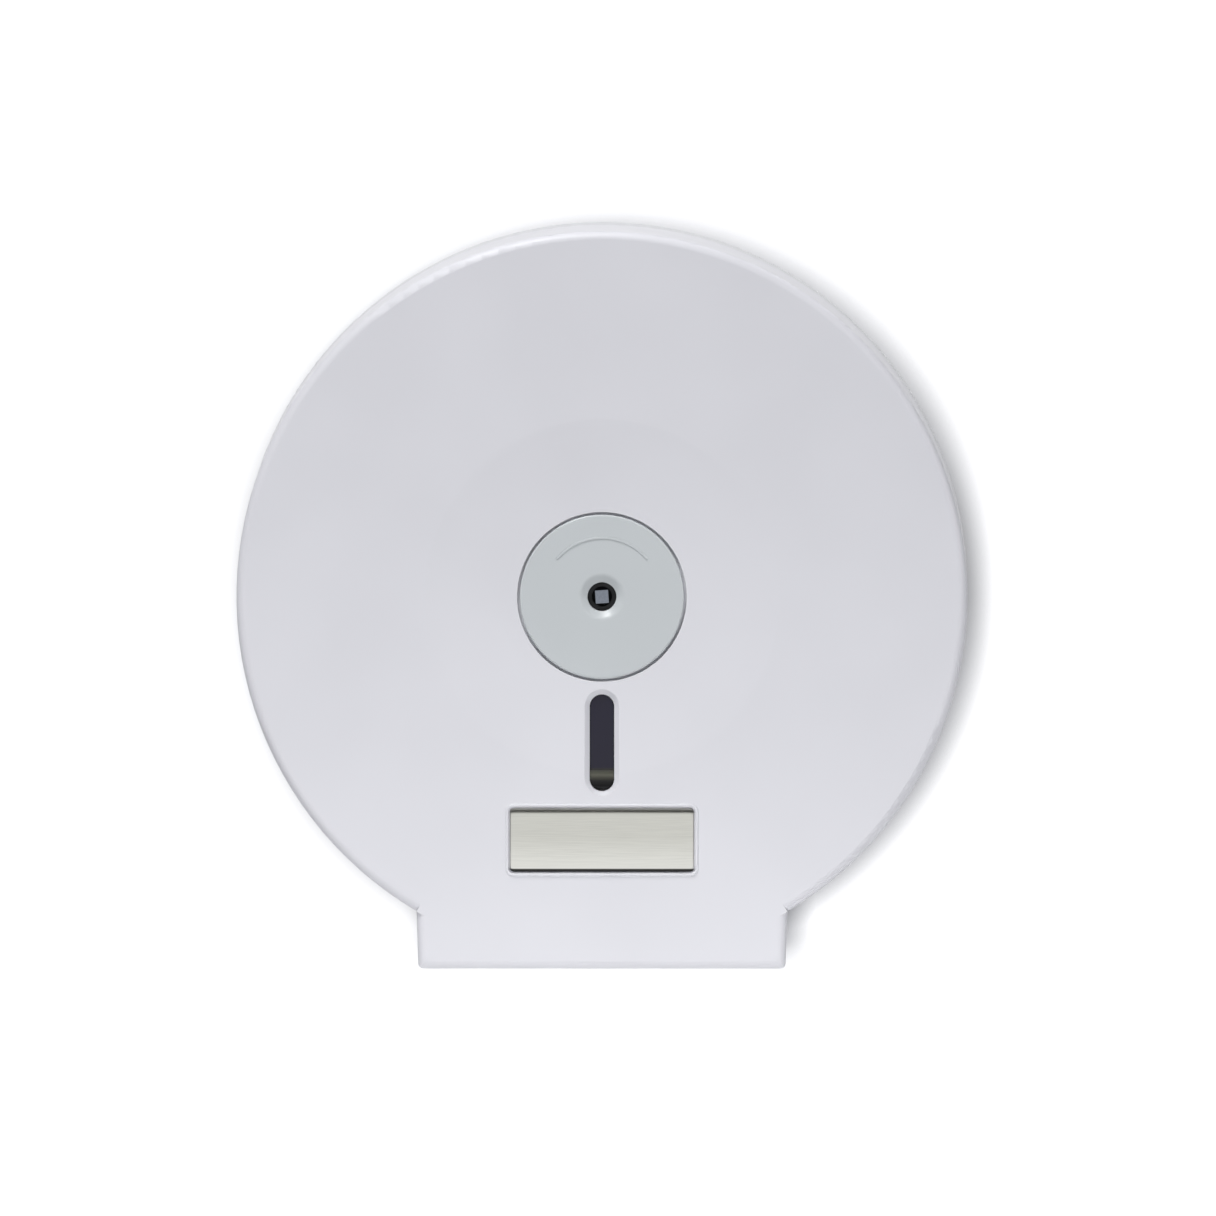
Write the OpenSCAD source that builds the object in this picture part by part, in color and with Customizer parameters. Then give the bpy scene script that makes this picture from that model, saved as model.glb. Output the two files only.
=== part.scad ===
// Jumbo toilet roll dispenser for a wall: a round cover hinged at its foot, a back tray that carries a
// turning roll hub on a post, and a quarter-turn lock in the middle of the cover.
// Modules draw in the wall frame: x to the right, y up, z out of the wall. stand() turns that upright.

/* [Case] */
// Radius of the round front
case_r = 140; // [134:1:150]
// Depth from the wall to the front face
case_depth = 122; // [120:1:134]
// Thickness of the moulded walls
wall_t = 2.8; // [2.4:0.1:3.2]
// Draft of the round side wall, in degrees
side_draft = 1.2; // [0.8:0.1:1.8]
// Rounding of the front edge
edge_r = 3.2; // [2:0.1:5]
// Radius of the shallow dish in the front
dish_r = 68; // [62:1:72]
// Depth of the dish at its middle
dish_depth = 2; // [1:0.1:2.6]

/* [Foot] */
// Width of the foot where it leaves the round
foot_top_w = 142.2; // [136:0.1:148]
// Width of the foot at its bottom edge
foot_bottom_w = 140.8; // [135:0.1:142]
// How far the foot's bottom edge stands below the round
foot_reach = 2.7; // [1:0.1:14]
// Rounding of the bottom corners, seen from the front
foot_corner_r = 2.2; // [1.5:0.1:4]

/* [Tray] */
// Depth of the back tray, from the wall to the parting line
tray_depth = 34; // [31:1:40]
// Gap at the parting line
part_gap = 0.4; // [0.3:0.1:0.6]
// Height of the ribs behind the tray floor
back_rib_h = 6; // [4:0.5:8]
// Thickness of the ribs behind the tray floor
back_rib_t = 1.8; // [1.4:0.1:2.4]
// Number of radial ribs behind the tray floor
back_rib_count = 12; // [8:2:16]
// How far the lip reaches into the cover
lip_reach = 8; // [5:0.5:10]
// Thickness of the lip
lip_t = 2; // [1.6:0.1:2.4]
// Gap between the lip and the cover
lip_gap = 0.6; // [0.5:0.1:1]
// Taper of the lip, which lets the cover swing off it, in degrees
lip_taper = 4; // [3:0.5:6]
// Height of the ring runners on the tray floor
runner_h = 1.2; // [0.8:0.1:2]

/* [Wall screws] */
// Distance between the screw slots across the wall
wall_screw_w = 150; // [130:1:160]
// Distance between the screw slots up the wall
wall_screw_h = 110; // [100:1:120]
// Width of a screw slot
wall_screw_d = 5.2; // [4.5:0.1:6]
// Travel of a screw along its slot
wall_screw_travel = 4; // [2:0.5:6]

/* [Hinge] */
// Distance of the hinge axis behind the parting line
hinge_back = 10; // [9:0.5:12]
// Height of the hinge axis above the bottom edge
hinge_rise = 7.7; // [7.2:0.1:8.2]
// Diameter of a hinge pin
pin_d = 4; // [3:0.1:5]
// Running clearance of a pin in the cover's arm, on the radius
pin_clear = 0.06; // [0.03:0.01:0.1]
// Thickness of the cover's arm
arm_t = 3.5; // [3:0.1:4]
// Gap on each side of the arm
arm_gap = 0.6; // [0.4:0.1:0.8]
// Thickness of the tray's inner ear
ear_t = 2.6; // [2:0.1:3.4]

/* [Spindle] */
// Outer diameter of the post
post_d = 40; // [38:0.5:42]
// Wall of the post
post_wall = 3; // [2.6:0.1:3.4]
// How far the post's end stands behind the front face
post_set_back = 19; // [18:0.5:21]
// Diameter of the post's flange
post_flange_d = 78; // [74:1:82]
// Thickness of the post's flange
post_flange_t = 3; // [2.5:0.1:4]
// Radius on which the post's screws stand
post_screw_r = 32; // [30:0.5:33]
// Height of the collar on the flange, under the friction washer
collar_h = 6.2; // [5:0.1:8]
// Width of the collar and the friction washer, on the radius
collar_w = 3; // [2:0.1:4]
// Thickness of the friction washer
friction_t = 1; // [0.8:0.1:1.6]

/* [Hub] */
// Running clearance of the hub on the post, on the radius
hub_clear = 0.06; // [0.03:0.01:0.1]
// Wall of the hub's tube
hub_wall = 2.3; // [2:0.1:3]
// Diameter over the fins, for a 60 mm core
hub_fin_d = 56; // [52:1:58]
// Number of fins
hub_fin_count = 8; // [6:1:12]
// Thickness of a fin
hub_fin_t = 1.8; // [1.4:0.1:2.4]
// Lead-in at the front of each fin
hub_lead = 9; // [5:0.5:14]
// Diameter of the hub's flange
hub_flange_d = 92; // [84:1:104]
// Thickness of the hub's flange
hub_flange_t = 2.2; // [1.8:0.1:3]
// Thickness of the hub's retaining ring
ring_t = 1.2; // [1:0.1:1.5]

/* [Lock] */
// Diameter of the grey disc
disc_d = 63; // [60:0.5:66]
// Groove around the disc
disc_groove = 1; // [0.6:0.1:1.5]
// Thickness of the disc
disc_t = 2.8; // [2.4:0.1:3.2]
// Diameter of the key hole
key_hole_d = 11.1; // [10.5:0.1:12]
// Diameter of the key hole's countersink
key_sink_d = 16.7; // [14:0.1:19]
// Depth of the key hole's countersink
key_sink_h = 2; // [1.4:0.1:2.2]
// Rounding of the countersink into the disc's face
key_sink_r = 2.5; // [1:0.1:4]
// Rounding of the disc's outer edge
disc_edge_r = 0.7; // [0.3:0.1:1]
// Width of the square drive
key_square = 5; // [4.5:0.1:5.2]
// Turn of the drive against the crossbar, in degrees
key_turn = 4; // [0:1:8]
// Diameter of the lock bolt's barrel
barrel_d = 10; // [9:0.1:10.5]
// Running clearance of the barrel, on the radius
barrel_clear = 0.05; // [0.03:0.01:0.1]
// Length of the crossbar on the lock bolt
bar_len = 16; // [13:0.5:17]
// Width of the crossbar
bar_w = 5; // [4:0.1:6]
// Thickness of the crossbar
bar_t = 3; // [2.4:0.1:3.4]
// Thickness of the steel keeper
keeper_t = 1.5; // [1:0.1:1.8]
// Room around the crossbar in the keeper's slot
keeper_room = 0.5; // [0.4:0.1:0.8]

/* [Window] */
// Width of the window slot at its narrow part
slot_w = 9.4; // [8:0.1:11]
// Distance between the centres of the slot's round ends
slot_pitch = 27.7; // [22:0.1:29]
// How much each side of the slot flares out to the front
slot_flare = 2; // [1:0.1:2.5]
// Depth of the flare
slot_flare_h = 2.2; // [1.5:0.1:2.8]
// Distance of the slot's middle below the hub axis
slot_drop = 56; // [55:0.5:58]
// Thickness of the lens flange
lens_t = 1.5; // [1.2:0.1:2]
// Gap around the lens in the slot
lens_gap = 0.25; // [0.2:0.05:0.4]
// How far the lens's face stands behind the front
lens_sunk = 3.4; // [2:0.1:4]
// Height of the sill across the lens's lower end
sill_h = 1.4; // [0.6:0.1:1.8]

/* [Name plate] */
// Width of the recess
plate_recess_w = 71.6; // [60:0.1:80]
// Height of the recess
plate_recess_h = 25.5; // [20:0.1:27]
// Depth of the recess
plate_recess_t = 1.2; // [1:0.1:1.4]
// Distance of the recess's middle below the hub axis
plate_drop = 93.2; // [91:0.1:97]
// Corner radius of the recess
plate_corner_r = 1.9; // [1:0.1:3]
// Width of the raised frame
plate_frame_w = 1.35; // [1:0.05:2]
// Height of the raised frame
plate_frame_h = 0.5; // [0.3:0.1:0.8]
// How far the recess cuts into the frame's half-round bead
plate_frame_cut = 0.12; // [0.1:0.01:0.2]
// Gap around the plate
plate_gap = 0.5; // [0.3:0.1:0.8]
// Thickness of the plate
plate_t = 0.8; // [0.5:0.1:1]
// How far the rolled long edges reach into the plate's face
plate_roll = 1.8; // [0.8:0.1:2.4]

/* [Tear bars] */
// Thickness of a tear bar
tear_t = 1.2; // [0.8:0.1:1.5]
// Height of a tear bar, teeth included
tear_h = 14; // [12:0.5:16]
// Pitch of the teeth
tooth_pitch = 3; // [2.5:0.1:4]
// Depth of a tooth
tooth_h = 2.6; // [1.8:0.1:3]

/* [Hidden] */
$fn = 96;

bond = 0.4;           // how far fused forms of one moulding run into each other
past = 1;             // how far a cut runs past the face that it opens
far = 400;            // longer than the whole object
case_colour = "#E4E4E9";
tray_colour = "#DADBDE";
disc_colour = "#C5C9CB";
hub_colour = "#9FA5AB";
steel_colour = "#B9BBBC";
lens_colour = "#39383F";
housing_colour = "#2C2E35";
felt_colour = "#55585C";

// Case: the round drum's radius at a height above the wall, and the foot's half width at a level
function outer_r(z) = case_r + (case_depth - z) * tan(side_draft);
function inner_r(z) = outer_r(z) - wall_t;
foot_drop = case_r + foot_reach;  // height of the hub axis above the bottom edge
foot_join_y = -sqrt(pow(case_r, 2) - pow(foot_top_w / 2, 2));
foot_slope = (foot_top_w - foot_bottom_w) / 2 / (foot_drop + foot_join_y);
foot_lean = atan(foot_slope);
foot_angle = asin(foot_top_w / 2 / case_r); // from straight down to the foot's corner
function foot_half(y) = foot_bottom_w / 2 + (foot_drop + y) * foot_slope;
function foot_in(y) = foot_half(y) - wall_t;
foot_root_y = -case_r / 2;      // top of the foot's block, hidden in the drum
front_in = case_depth - wall_t; // inner face of the flat front
dish_sphere_r = (pow(dish_r, 2) + pow(dish_depth, 2)) / (2 * dish_depth);
dish_centre_z = case_depth - dish_depth + dish_sphere_r;

// Seats behind the front: one plane carries the lens and the lock housing
seat_floor_t = 2.4;
disc_proud = 1;                 // how far the disc stands out of the dish's middle
disc_face_z = case_depth - dish_depth + disc_proud;
disc_back_z = disc_face_z - disc_t;
seat_z = disc_back_z - seat_floor_t;
seat_wall = 2;
disc_pocket_d = disc_d + 2 * disc_groove;
seat_boss_d = disc_pocket_d + 2 * seat_wall;

// Tray
tray_top = tray_depth - part_gap;
floor_z = back_rib_h;
floor_top = floor_z + wall_t;
lip_root = 10;
runner_w = 2;
runner_r = [60, 104];
rib_ring_r = [42, 96];
wall_hub_r = 10;                // solid disc on the wall plane, where the ribs meet
wall_pad = 3;                   // wall of the pad around a screw slot
wall_pad_z = floor_top + runner_h;
function lip_r(z) = inner_r(tray_depth) - lip_gap - (z - tray_depth) * tan(lip_taper);

// Paper outlet: the foot's narrower inner level between the bottom edge and the top of the tear bars
tear_tip_y = -foot_drop + 0.5;
tear_top_y = tear_tip_y + tear_h;
outlet_half = min(foot_in(-foot_drop), foot_in(tear_top_y));
rail_out = outlet_half + wall_t - bond;

// Hinge
hinge_z = tray_depth - hinge_back;
hinge_y = hinge_rise - foot_drop;
ear_gap = 0.6;                  // gap between the tray's rounded corner and the cover's back edge
ear_round = hinge_back - ear_gap;
knuckle_r = hinge_rise - 0.5;
arm_out = outlet_half - arm_gap;
arm_in = arm_out - arm_t;
ear_out = arm_in - arm_gap;
ear_in = ear_out - ear_t;
pin_head_d = 7;
pin_head_t = 1.6;
pin_seat = 1.8;                 // how deep a pin sits in the tray's side wall
pin_end = foot_in(hinge_y) + pin_seat;

// Spindle and hub
post_end = case_depth - post_set_back;
post_r = post_d / 2;
post_in = post_r - post_wall;
collar_top = floor_top + post_flange_t + collar_h;
collar_r = post_r + collar_w;
hub_z = collar_top + friction_t;
post_tail = 4.8;                // length of post in front of the retaining ring
ring_z = post_end - post_tail - ring_t;
hub_end = ring_z - 0.1;         // end play of the hub
hub_r = post_r + hub_clear + hub_wall;
ring_depth = 1;                 // depth of the ring's groove
ring_out = post_r + 2.6;
ring_opening = 40;              // opening of the retaining ring, in degrees
post_screw_d = 4;
post_screw_head_d = 7.6;
post_screw_head_t = 2.4;
post_boss_d = 9;
gusset_t = 2;
hub_hole_d = 9;
hub_hole_r = (hub_fin_d / 2 + hub_flange_d / 2) / 2;

// Lock
small_screw_d = 3;
small_head_d = 5.6;
small_head_t = 2;
screw_play = 0.3;               // extra diameter of a clearance hole
post_screw_gap = 0.6;           // from the end of a spindle screw to the end of its hole
small_screw_gap = 0.4;          // the same for the lens and disc screws
keeper_screw_gap = 1;           // the same for the keeper's screws
keeper_hole_skin = 2;           // what is left of a keeper boss under its screw hole
gusset_inset = 1;               // step that a gusset leaves at the flange's edge and the collar's top
hub_fin_step = 1;               // step of a fin's end over the hub's tube
friction_clear = 0.1;           // clearance of the felt washer on the post, on the radius
rivet_head_taper = 0.7;         // outer diameter of a rivet's head against its inner one
keeper_z = post_end;
keeper_top = keeper_z + keeper_t;
keeper_d = post_d - 1;
keeper_screw_x = post_in - 3.5;
keeper_boss_d = 8;
keeper_boss_h = 14;
bar_behind = 1.5;               // room between the crossbar and the keeper
bar_top = keeper_z - bar_behind;
bar_z = bar_top - bar_t;
bar_lever = (keeper_top - hinge_z) / (-hinge_y - bar_len / 2);
bar_drop = (keeper_top - bar_z) * bar_lever;
stem_d = bar_w;
housing_flange_d = 56;
housing_flange_t = 2.5;
housing_lip_t = 2.1;
housing_tube_d = barrel_d + 7;
housing_end = keeper_top + 3.5;
lip_hole_d = key_square * sqrt(2) + 0.6;
housing_screw_r = 22;
stud_d = 6;
screw_skin = 1.6;               // what a blind screw hole leaves of the disc or the cover
circlip_t = 0.6;
washer_t = 0.8;
washer_d = 15;
circlip_z = housing_end - washer_t - circlip_t;
barrel_end = circlip_z - 0.5;
barrel_top = seat_z - housing_lip_t - 0.1;
circlip_in = barrel_d / 2 - 0.6;
circlip_out = barrel_d / 2 + 2;
square_top = disc_face_z - 1.5; // the drive ends this far behind the disc's face
mark_r = 22.2;
mark_w = 0.8;
mark_h = 0.25;
mark_angle = 100;

// Window
slot_open_w = slot_w + 2 * slot_flare;
slot_low_y = -slot_drop - slot_pitch / 2;
slot_high_r = slot_drop - slot_pitch / 2;
flare_tilt = atan(dish_depth * (1 - pow(slot_high_r / dish_r, 2)) / slot_pitch); // follows the dish
flare_skin = 0.2;               // how far the flare's narrow end stands inside the slot
lens_edge = 8;                  // how far the lens flange reaches past the slot's sides
lens_end = 5;                   // and past its ends
lens_w = slot_w + 2 * lens_edge + 2;
lens_h = slot_pitch + slot_w + 2 * lens_end;
lens_corner_r = 3;
lens_face_z = case_depth - lens_sunk;
sill_half = 3.8;                // half the width of the sill, up the lens
sill_drop = 14;                 // distance of the sill's middle below the slot's middle
lens_screw_x = slot_open_w / 2 + 4;
pad_edge = 1;                   // how far the lens pad reaches past the lens

plate_edge_t = 0.2;             // thickness of the plate at its rolled edges

// Tear bars
tear_x = ear_out - 0.4;         // inner face of a bar, set in from the arm
rail_in = tear_x + tear_t;
rail_h = 12;
tear_z0 = tray_depth + 8;
tear_len = floor((front_in - 2 - tear_z0) / tooth_pitch) * tooth_pitch;
rail_y = tear_top_y - rail_h;
rivet_d = 2.4;
rivet_head_d = 5;
rivet_head_t = 0.8;
rivet_y = rail_y + rail_h / 2 + 1;
rivet_end = foot_half(rivet_y) - 1.2;
rivet_count = 3;
rivet_edge = 8;

// Ribs inside the cover
cover_rib_h = 3;
cover_rib_t = 1.6;
cover_rib_from = 74;
cover_rib_step = 20;
cover_rib_first = -20;
cover_rib_last = 200;

// Turns the wall frame upright: y becomes the height and z points away from the wall
module stand() {
    rotate([90, 0, 0]) children();
}

// Extrudes a side view, drawn with x out of the wall and y up, across the width w
module across(w) {
    rotate([0, -90, 0]) linear_extrude(w, center = true) children();
}

// The same side view as a plate between x = x0 and x = x1
module plate_between(x0, x1) {
    translate([(x0 + x1) / 2, 0, 0]) across(abs(x1 - x0)) children();
}

// Points of an arc about (x, y), for an outline
function arc_points(x, y, r, from, to, steps = 8) = [for (i = [0:steps])
    let (a = from + i * (to - from) / steps) [x + r * cos(a), y + r * sin(a)]];

module both_sides() {
    children();
    mirror([1, 0, 0]) children();
}

module rounded_rect(w, h, r) {
    square([w - 2 * r, h], center = true);
    square([w, h - 2 * r], center = true);
    for (sx = [-1, 1])
        for (sy = [-1, 1])
            translate([sx * (w / 2 - r), sy * (h / 2 - r)]) circle(r);
}

// Slot with round ends, pitch between their centres, lying along x
module slot_outline(pitch, d) {
    square([pitch, d], center = true);
    for (s = [-1, 1]) translate([s * pitch / 2, 0]) circle(d = d);
}

module ring_outline(r_out, r_in) {
    difference() {
        circle(r_out);
        circle(r_in);
    }
}

module at_angles(count, r, first = 0) {
    for (i = [0:count - 1])
        rotate(first + i * 360 / count) translate([r, 0, 0]) children();
}

// Round outer form of the case from z0 to the front, with its dish but a sharp front edge
module drum(z0) {
    rotate_extrude() difference() {
        polygon([[0, z0], [outer_r(z0), z0], [outer_r(case_depth), case_depth], [0, case_depth]]);
        translate([0, dish_centre_z]) circle(dish_sphere_r, $fn = 1440);
    }
}

// What the rounding takes off the drum's front edge, all the way round to the foot's two corners
module drum_edge_cut() {
    arc_x = case_r + edge_r * tan(side_draft) - edge_r / cos(side_draft);
    arc_z = case_depth - edge_r;
    side_x = arc_x + edge_r * cos(side_draft);
    side_z = arc_z + edge_r * sin(side_draft);
    rotate_extrude(angle = 360 - 2 * foot_angle, start = foot_angle - 90) difference() {
        polygon([[arc_x, arc_z], [side_x, side_z], [side_x + edge_r, side_z],
            [side_x + edge_r, case_depth + past], [arc_x, case_depth + past]]);
        translate([arc_x, arc_z]) circle(edge_r);
    }
}

// Space inside the drum, which follows the dish so that the wall keeps its thickness
module drum_space(z0) {
    rotate_extrude() difference() {
        polygon([[0, z0], [inner_r(z0), z0], [inner_r(front_in), front_in], [0, front_in]]);
        translate([0, dish_centre_z]) circle(dish_sphere_r + wall_t, $fn = 1440);
    }
}

// Foot seen from the front, its bottom corners rounded from the leaning side to the level edge
module foot_outline() {
    corner_y = foot_corner_r - foot_drop;
    corner_x = foot_half(corner_y) - foot_corner_r / cos(foot_lean);
    right = arc_points(corner_x, corner_y, foot_corner_r, -90, -foot_lean);
    left = [for (i = [len(right) - 1:-1:0]) [-right[i][0], right[i][1]]];
    polygon(concat([[-foot_half(foot_root_y), foot_root_y]], left, right,
        [[foot_half(foot_root_y), foot_root_y]]));
}

// Inside of the foot seen from the front, open at the bottom
module foot_space_outline() {
    low_y = -foot_drop - past;
    polygon([[wall_t - foot_half(foot_root_y), foot_root_y], [wall_t - foot_half(low_y), low_y],
        [foot_half(low_y) - wall_t, low_y], [foot_half(foot_root_y) - wall_t, foot_root_y]]);
}

// Block whose one front edge, along y at x = 0, is rounded
module edge_block() {
    rotate([90, 0, 0]) linear_extrude(far, center = true) {
        polygon([[-far, -past], [0, -past], [0, case_depth - edge_r], [-edge_r, case_depth - edge_r],
            [-edge_r, case_depth], [-far, case_depth]]);
        translate([-edge_r, case_depth - edge_r]) circle(edge_r);
    }
}

// Foot of the case from z0 to the front, its two sides and its bottom rounded to the front
module foot_block(z0) {
    intersection() {
        translate([0, 0, z0]) linear_extrude(case_depth - z0) foot_outline();
        translate([foot_bottom_w / 2, -foot_drop, 0]) rotate(-foot_lean) edge_block();
        mirror([1, 0, 0])
            translate([foot_bottom_w / 2, -foot_drop, 0]) rotate(-foot_lean) edge_block();
        translate([0, -foot_drop, 0]) rotate(-90) edge_block();
    }
}

// Pan-head screw with its head's underside at z = 0 and its head towards -z
module pan_screw(d, shank, head_d, head_t) {
    slot = head_d * 0.62;
    difference() {
        union() {
            cylinder(h = shank, d = d);
            translate([0, 0, -head_t]) cylinder(h = head_t, d1 = head_d * 0.8, d2 = head_d);
        }
        for (turn = [0, 90])
            rotate(turn) translate([-slot / 2, -d / 8, -head_t - past])
                cube([slot, d / 4, head_t * 0.5 + past]);
    }
}

// The tray's hinge corner below the axis is rounded, so the cover's back edge swings past it
module ear_corner_cut() {
    across(far) difference() {
        translate([hinge_z, -foot_drop - past])
            square([tray_depth - hinge_z + past, foot_drop + past + hinge_y]);
        translate([hinge_z, hinge_y]) circle(ear_round);
    }
}

module back_ribs() {
    linear_extrude(floor_z + bond) intersection() {
        union() {
            circle(wall_hub_r);
            for (i = [0:back_rib_count - 1])
                rotate(i * 360 / back_rib_count) translate([wall_hub_r - bond, -back_rib_t / 2])
                    square([far, back_rib_t]);
            for (r = rib_ring_r) ring_outline(r + back_rib_t / 2, r - back_rib_t / 2);
        }
        union() {
            circle(inner_r(0) + bond);
            foot_space_outline();
        }
        translate([-far / 2, -foot_drop]) square([far, far]);
    }
}

module tray_shell() {
    difference() {
        union() {
            rotate_extrude()
                polygon([[0, 0], [outer_r(0), 0], [outer_r(tray_top), tray_top], [0, tray_top]]);
            difference() {
                linear_extrude(tray_top) foot_outline();
                ear_corner_cut();
            }
        }
        rotate_extrude() polygon([[0, floor_top], [inner_r(floor_top), floor_top],
            [inner_r(tray_depth), tray_depth], [0, tray_depth]]);
        translate([0, 0, floor_top]) linear_extrude(tray_depth) foot_space_outline();
        rotate_extrude() polygon([[0, -past], [inner_r(-past), -past], [inner_r(floor_z), floor_z],
            [0, floor_z]]);
        translate([0, 0, -past]) linear_extrude(floor_z + past) foot_space_outline();
    }
}

// Lip that the cover closes over, left off across the foot
module tray_lip() {
    lip_end = tray_depth + lip_reach;
    lip_in = lip_r(lip_end) - lip_t;
    difference() {
        rotate_extrude() polygon([[lip_in, tray_top - lip_root],
            [inner_r(tray_top - lip_root) + bond, tray_top - lip_root],
            [inner_r(tray_top) + bond, tray_top], [lip_r(tray_depth), tray_top],
            [lip_r(lip_end), lip_end], [lip_in, lip_end]]);
        translate([-foot_top_w / 2 - wall_t, -far, 0]) cube([foot_top_w + 2 * wall_t, far, far]);
    }
}

module tray_ear() {
    plate_between(ear_in, ear_out) {
        translate([hinge_z, hinge_y]) circle(knuckle_r);
        translate([floor_top - bond, hinge_y - knuckle_r])
            square([hinge_z - floor_top + bond, 2 * knuckle_r]);
    }
}

module wall_screw_places() {
    for (sx = [-1, 1])
        for (sy = [-1, 1])
            translate([sx * wall_screw_w / 2, sy * wall_screw_h / 2, 0]) children();
}

module back_tray() {
    color(tray_colour) stand() difference() {
        union() {
            tray_shell();
            back_ribs();
            tray_lip();
            both_sides() tray_ear();
            for (r = runner_r)
                translate([0, 0, floor_top - bond]) linear_extrude(runner_h + bond)
                    ring_outline(r + runner_w / 2, r - runner_w / 2);
            at_angles(4, post_screw_r, 45) cylinder(h = floor_top, d = post_boss_d);
            wall_screw_places() linear_extrude(wall_pad_z)
                slot_outline(wall_screw_travel, wall_screw_d + 2 * wall_pad);
        }
        at_angles(4, post_screw_r, 45)
            translate([0, 0, screw_skin]) cylinder(h = floor_top, d = post_screw_d);
        wall_screw_places() translate([0, 0, -past]) linear_extrude(wall_pad_z + 2 * past)
            slot_outline(wall_screw_travel, wall_screw_d);
        both_sides() plate_between(ear_in - past, pin_end)
            translate([hinge_z, hinge_y]) circle(d = pin_d);
    }
}

module spindle_post() {
    flange_top = floor_top + post_flange_t;
    color(tray_colour) stand() difference() {
        union() {
            rotate_extrude() polygon([[post_in, floor_top], [post_flange_d / 2, floor_top],
                [post_flange_d / 2, flange_top], [collar_r, flange_top], [collar_r, collar_top],
                [post_r, collar_top], [post_r, ring_z], [post_r - ring_depth, ring_z],
                [post_r - ring_depth, ring_z + ring_t], [post_r, ring_z + ring_t],
                [post_r, post_end], [post_in, post_end]]);
            // gussets between the screws
            for (i = [0:3])
                rotate(i * 90) rotate([90, 0, 0]) linear_extrude(gusset_t, center = true)
                    polygon([[collar_r - bond, flange_top - bond],
                        [post_flange_d / 2 - gusset_inset, flange_top - bond],
                        [collar_r - bond, collar_top - gusset_inset]]);
            for (s = [-1, 1])
                translate([s * keeper_screw_x, 0, post_end - keeper_boss_h])
                    cylinder(h = keeper_boss_h, d = keeper_boss_d);
        }
        at_angles(4, post_screw_r, 45) translate([0, 0, floor_top - past])
            cylinder(h = post_flange_t + 2 * past, d = post_screw_d + screw_play);
        for (s = [-1, 1])
            translate([s * keeper_screw_x, 0, post_end - keeper_boss_h + keeper_hole_skin])
                cylinder(h = keeper_boss_h, d = small_screw_d);
    }
}

module spindle_screws() {
    flange_top = floor_top + post_flange_t;
    color(steel_colour) stand() at_angles(4, post_screw_r, 45)
        translate([0, 0, flange_top]) mirror([0, 0, 1])
            pan_screw(post_screw_d, flange_top - screw_skin - post_screw_gap, post_screw_head_d,
                post_screw_head_t);
}

module friction_washer() {
    color(felt_colour) stand() translate([0, 0, collar_top]) difference() {
        cylinder(h = friction_t, r = collar_r);
        translate([0, 0, -past]) cylinder(h = friction_t + 2 * past, r = post_r + friction_clear);
    }
}

// C-shaped ring of a rectangular section, its opening centred on -y
module open_ring(r_in, r_out, t, opening) {
    rotate_extrude(angle = 360 - opening, start = -90 + opening / 2)
        translate([r_in, 0]) square([r_out - r_in, t]);
}

module hub_retaining_ring() {
    color(steel_colour) stand() translate([0, 0, ring_z])
        open_ring(post_r - ring_depth, ring_out, ring_t, ring_opening);
}

module lock_keeper() {
    slot_up = bar_len / 2 + keeper_room;
    slot_down = bar_len / 2 + bar_drop + keeper_room;
    color(steel_colour) stand() translate([0, 0, keeper_z]) difference() {
        cylinder(h = keeper_t, d = keeper_d);
        translate([-bar_w / 2 - keeper_room, -slot_down, -past])
            cube([bar_w + 2 * keeper_room, slot_up + slot_down, keeper_t + 2 * past]);
        for (s = [-1, 1])
            translate([s * keeper_screw_x, 0, -past])
                cylinder(h = keeper_t + 2 * past, d = small_screw_d + screw_play);
    }
}

module keeper_screws() {
    color(steel_colour) stand() for (s = [-1, 1])
        translate([s * keeper_screw_x, 0, keeper_top]) mirror([0, 0, 1])
            pan_screw(small_screw_d, keeper_t + keeper_boss_h - keeper_hole_skin - keeper_screw_gap,
                small_head_d, small_head_t);
}

// Headed pin, put in from the middle of the outlet
module hinge_pin() {
    translate([0, hinge_y, hinge_z]) rotate([0, 90, 0]) {
        translate([0, 0, ear_in]) cylinder(h = pin_end - ear_in, d = pin_d);
        translate([0, 0, ear_in - pin_head_t]) cylinder(h = pin_head_t, d = pin_head_d);
    }
}

module hinge_pin_left() {
    color(steel_colour) stand() mirror([1, 0, 0]) hinge_pin();
}

module hinge_pin_right() {
    color(steel_colour) stand() hinge_pin();
}

// Turning mandrel in the roll's core: a tube with fins, and a flange behind the roll
module core_hub() {
    fin_r = hub_fin_d / 2;
    color(hub_colour) stand() difference() {
        union() {
            translate([0, 0, hub_z]) cylinder(h = hub_end - hub_z, r = hub_r);
            translate([0, 0, hub_z]) cylinder(h = hub_flange_t, d = hub_flange_d);
            for (i = [0:hub_fin_count - 1])
                rotate((i + 0.5) * 360 / hub_fin_count) rotate([90, 0, 0])
                    linear_extrude(hub_fin_t, center = true)
                        polygon([[hub_r - bond, hub_z + hub_flange_t - bond],
                            [fin_r, hub_z + hub_flange_t - bond], [fin_r, hub_end - hub_lead],
                            [hub_r + hub_fin_step, hub_end - hub_fin_step],
                            [hub_r - bond, hub_end - hub_fin_step]]);
        }
        translate([0, 0, hub_z - past]) cylinder(h = hub_end - hub_z + 2 * past, r = post_r + hub_clear);
        at_angles(hub_fin_count, hub_hole_r)
            translate([0, 0, hub_z - past]) cylinder(h = hub_flange_t + 2 * past, d = hub_hole_d);
    }
}

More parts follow.
